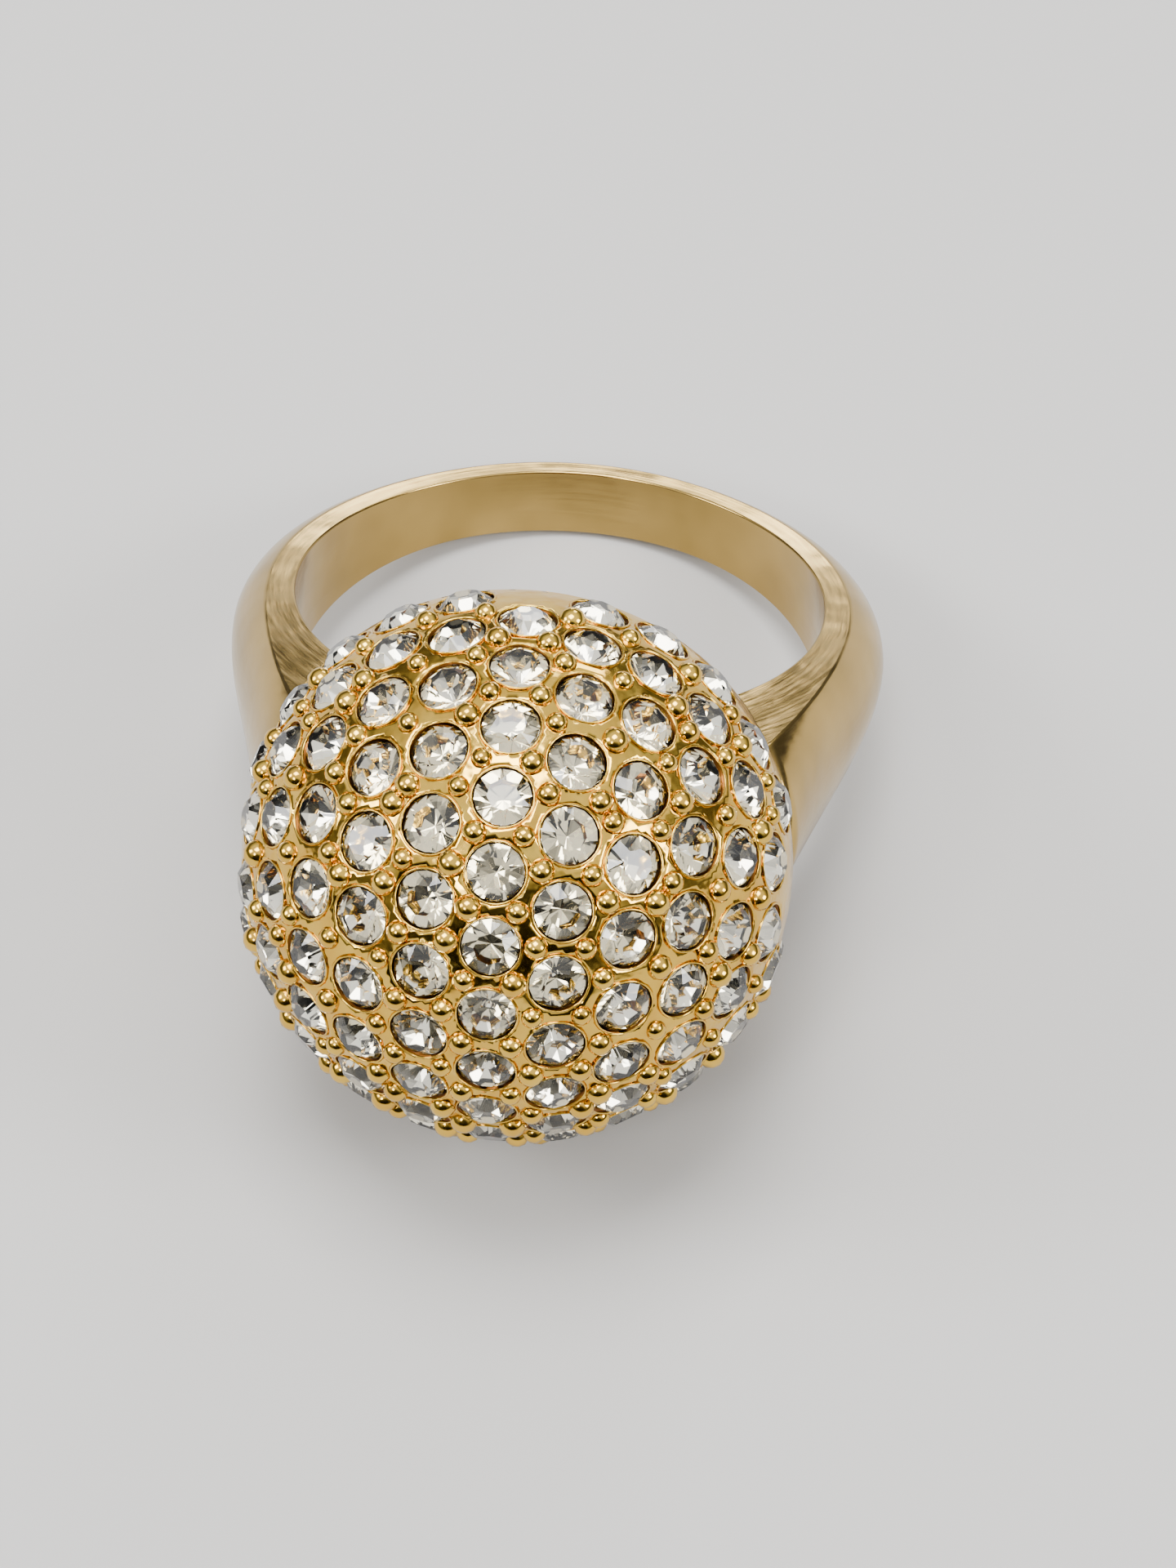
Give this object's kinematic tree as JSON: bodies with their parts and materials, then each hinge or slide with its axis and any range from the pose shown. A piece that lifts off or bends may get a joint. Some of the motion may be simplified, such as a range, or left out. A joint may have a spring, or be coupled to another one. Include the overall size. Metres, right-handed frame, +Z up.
{
  "type": "cocktail ring",
  "caption": "Gold-coloured cocktail ring with a tapered band and a round dome set all over with small clear round stones.",
  "frame": {"origin": "centre of the bounding box, on the table that the ring lies on", "axes": "+Z up from the table; the middle of the dome points to -Y and 21 degrees up; +X to the right of a viewer who faces the dome; the finger axis runs in the YZ plane, 21 degrees from +Z"},
  "size_m": [0.0214, 0.0294, 0.0176],
  "materials": {
    "polished_gold_plate": "pale gold plating on cast brass, polished, with lightly brushed side edges",
    "cast_gold_plate": "warm gold plating on cast brass, tumbled, with bright grains",
    "foiled_glass": "clear faceted glass with silver foil on its pointed back"
  },
  "bodies": {
    "root": {"dome_shell": "cast_gold_plate", "shank": "polished_gold_plate", "stone_centre_row_01": "foiled_glass", "stone_centre_row_02": "foiled_glass", "stone_centre_row_03": "foiled_glass", "stone_centre_row_04": "foiled_glass", "stone_centre_row_05": "foiled_glass", "stone_centre_row_06": "foiled_glass", "stone_centre_row_07": "foiled_glass", "stone_centre_row_08": "foiled_glass", "stone_centre_row_09": "foiled_glass", "stone_centre_row_10": "foiled_glass", "stone_centre_row_11": "foiled_glass", "stone_centre_row_12": "foiled_glass", "stone_centre_row_13": "foiled_glass", "stone_centre_row_14": "foiled_glass", "stone_left_row_01": "foiled_glass", "stone_left_row_02": "foiled_glass", "stone_left_row_03": "foiled_glass", "stone_left_row_04": "foiled_glass", "stone_left_row_05": "foiled_glass", "stone_left_row_06": "foiled_glass", "stone_left_row_07": "foiled_glass", "stone_left_row_08": "foiled_glass", "stone_left_row_09": "foiled_glass", "stone_left_row_10": "foiled_glass", "stone_left_row_11": "foiled_glass", "stone_left_row_12": "foiled_glass", "stone_left_row_13": "foiled_glass", "stone_left_row_14": "foiled_glass", "stone_right_row_01": "foiled_glass", "stone_right_row_02": "foiled_glass", "stone_right_row_03": "foiled_glass", "stone_right_row_04": "foiled_glass", "stone_right_row_05": "foiled_glass", "stone_right_row_06": "foiled_glass", "stone_right_row_07": "foiled_glass", "stone_right_row_08": "foiled_glass", "stone_right_row_09": "foiled_glass", "stone_right_row_10": "foiled_glass", "stone_right_row_11": "foiled_glass", "stone_right_row_12": "foiled_glass", "stone_right_row_13": "foiled_glass", "stone_right_row_14": "foiled_glass"}
  },
  "joints": []
}
